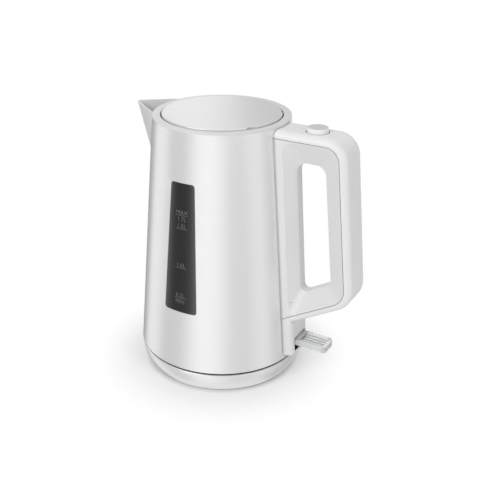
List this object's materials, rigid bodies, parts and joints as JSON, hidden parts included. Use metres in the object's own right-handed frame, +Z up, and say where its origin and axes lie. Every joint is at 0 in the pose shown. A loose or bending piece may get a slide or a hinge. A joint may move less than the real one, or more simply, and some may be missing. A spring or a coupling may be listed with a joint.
{
  "type": "electric kettle",
  "caption": "cordless electric kettle with a tapered white jug, beak spout, smoked water window, C-shaped handle, hinged lid with push button, switch lever and round power base",
  "frame": {"origin": "on the vertical axis of the jug and the power base, at table level under the base's feet", "axes": "+Z up along the jug's axis, +X towards the handle, -X towards the spout, -Y towards the water window"},
  "size_m": [0.2353, 0.1606, 0.253],
  "materials": {
    "white_shell": "satin white",
    "white_ring": "satin white",
    "white_spout": "satin white",
    "white_lid": "satin white",
    "white_handle_inner": "satin white",
    "white_handle_cover": "satin white",
    "white_button": "satin white",
    "white_base": "satin white",
    "smoked_window": "smoked gloss",
    "clear_lever": "clear gloss",
    "steel": "brushed",
    "screw_steel": "plain",
    "aluminium": "cast",
    "brass": "plain",
    "silicone": "matt translucent",
    "foot_rubber": "matt",
    "dark_plastic": "fine texture",
    "black_plastic": "fine texture",
    "grey_plastic": "fine texture",
    "grey_mesh": "fine texture"
  },
  "bodies": {
    "base": {"base_cover": "white_base", "base_plate": "grey_plastic", "base_screws": "screw_steel", "base_feet": "foot_rubber", "base_connector": "black_plastic", "base_contacts": "brass", "cord_gland": "foot_rubber"},
    "contact_ring": {"contact_shutter": "dark_plastic"},
    "jug": {"body_shell": "white_shell", "top_ring": "white_ring", "spout": "white_spout", "spout_filter": "grey_mesh", "water_window": "smoked_window", "heating_plate": "steel", "plate_seal": "silicone", "heating_element": "aluminium", "bottom_cover": "dark_plastic", "bottom_screws": "screw_steel", "socket_body": "black_plastic", "socket_contacts": "brass", "handle_inner": "white_handle_inner", "handle_cover": "white_handle_cover", "handle_screws": "screw_steel", "steam_tube": "silicone", "steam_switch": "black_plastic", "lever_pin": "screw_steel"},
    "lid": {"lid_cover": "white_lid", "lid_plug": "grey_plastic", "lid_seal": "silicone", "lid_hinge_pins": "screw_steel"},
    "button": {"lid_button": "white_button"},
    "slider": {"release_slider": "grey_plastic"},
    "lever": {"switch_lever": "clear_lever"}
  },
  "joints": [
    {"name": "kettle_swivel", "type": "hinge", "parent": "base", "child": "contact_ring", "pos_m": [0, 0, 0.0183], "axis": [0, 0, 1], "continuous": true},
    {"name": "kettle_lift", "type": "slide", "parent": "contact_ring", "child": "jug", "axis": [0, 0, 1], "range_m": [0, 0.12]},
    {"name": "lid_hinge", "type": "hinge", "parent": "jug", "child": "lid", "pos_m": [0.0455, 0, 0.249], "axis": [0, 1, 0], "range_deg": [0, 60]},
    {"name": "button_press", "type": "slide", "parent": "jug", "child": "button", "axis": [0, 0, -1], "range_m": [0, 0.003], "stiffness_N_per_m": 400},
    {"name": "latch_slide", "type": "slide", "parent": "jug", "child": "slider", "axis": [1, 0, 0], "range_m": [0, 0.003]},
    {"name": "switch_press", "type": "hinge", "parent": "jug", "child": "lever", "pos_m": [0.08379, 0, 0.041], "axis": [0, 1, 0], "range_deg": [0, 12], "stiffness_Nm_per_rad": 0.2}
  ],
  "couplings": [
    {"joint": "latch_slide", "follows": "button_press", "ratio": 1}
  ]
}
